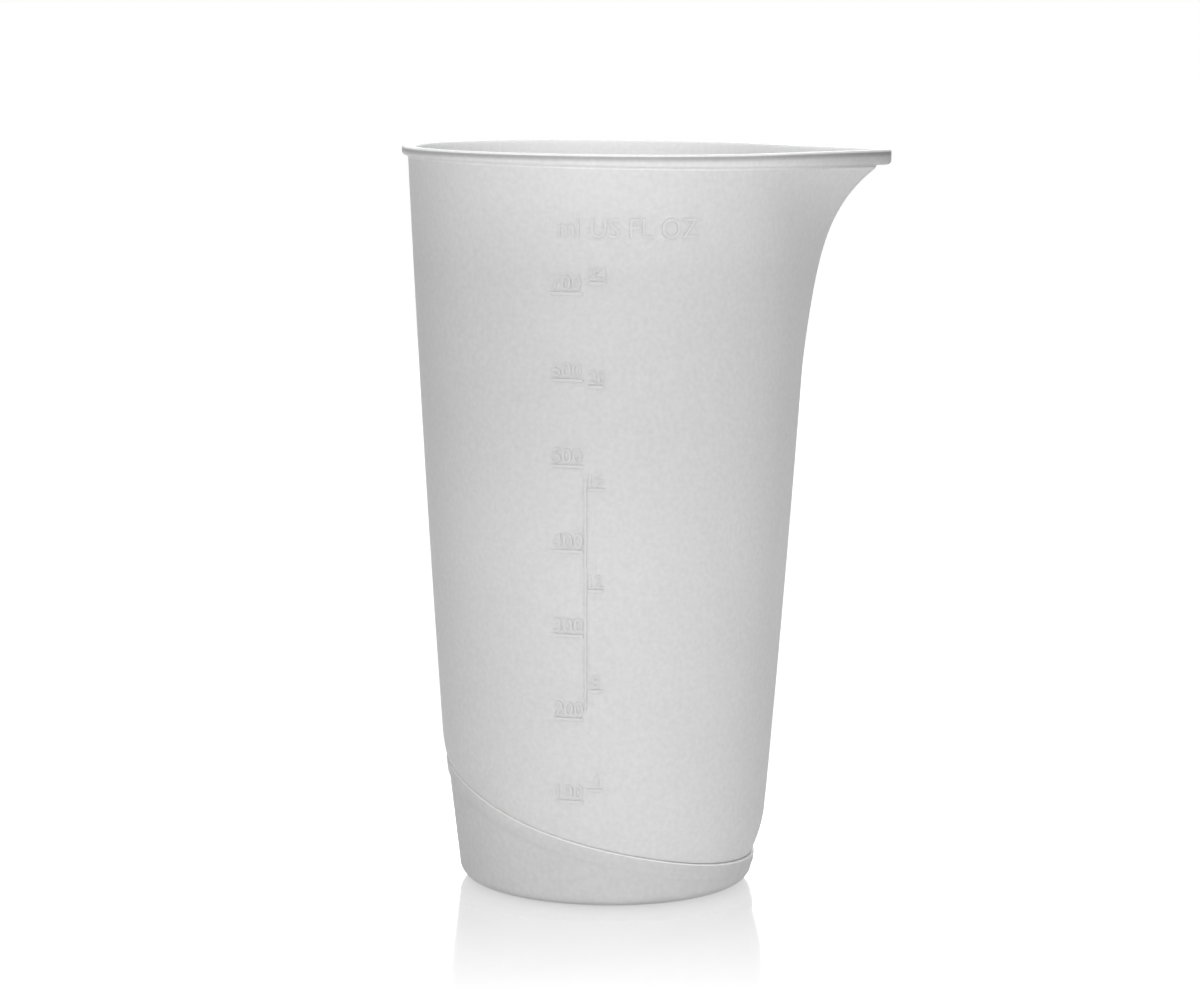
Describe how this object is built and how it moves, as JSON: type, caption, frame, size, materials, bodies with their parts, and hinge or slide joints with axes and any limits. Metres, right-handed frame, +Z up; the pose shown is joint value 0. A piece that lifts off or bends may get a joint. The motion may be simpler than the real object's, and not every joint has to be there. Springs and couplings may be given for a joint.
{
  "type": "measuring beaker",
  "caption": "Tapered mixing and measuring beaker with a flanged rim, a pouring spout, raised graduations and a push-on foot with an oblique top edge.",
  "frame": {"origin": "centre of the foot's underside, on the table", "axes": "+Z up along the beaker, +X towards the spout, the graduations face -Y"},
  "size_m": [0.1132, 0.0974, 0.172],
  "materials": {
    "frosted_body": "fine frosted translucent polypropylene",
    "frosted_foot": "frosted translucent soft plastic"
  },
  "bodies": {
    "foot": {"foot": "frosted_foot"},
    "beaker": {"beaker_body": "frosted_body"}
  },
  "joints": [
    {"name": "lift_off", "type": "slide", "parent": "foot", "child": "beaker", "axis": [0, 0, 1], "range_m": [0, 0.04]}
  ]
}
